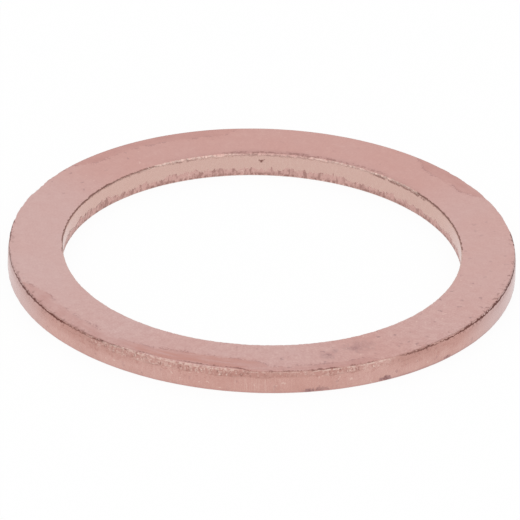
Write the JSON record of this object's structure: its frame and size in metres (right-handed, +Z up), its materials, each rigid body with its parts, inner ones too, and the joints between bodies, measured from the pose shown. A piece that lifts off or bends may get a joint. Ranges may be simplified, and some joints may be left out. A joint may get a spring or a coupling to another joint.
{
  "type": "copper crush washer",
  "caption": "Flat ring punched from soft copper sheet; clamped under a bolt or plug head, it crushes slightly and seals the joint.",
  "frame": {"origin": "centre of the bore at the lower sealing face, which rests on the surface under it", "axes": "+Z up along the bore axis, towards the face where the punch entered; X and Y lie in the lower face"},
  "size_m": [0.032, 0.032, 0.0016],
  "materials": {
    "copper": "satin, punched and tumbled, lightly tarnished"
  },
  "bodies": {
    "root": {"crush_washer": "copper"}
  },
  "joints": []
}
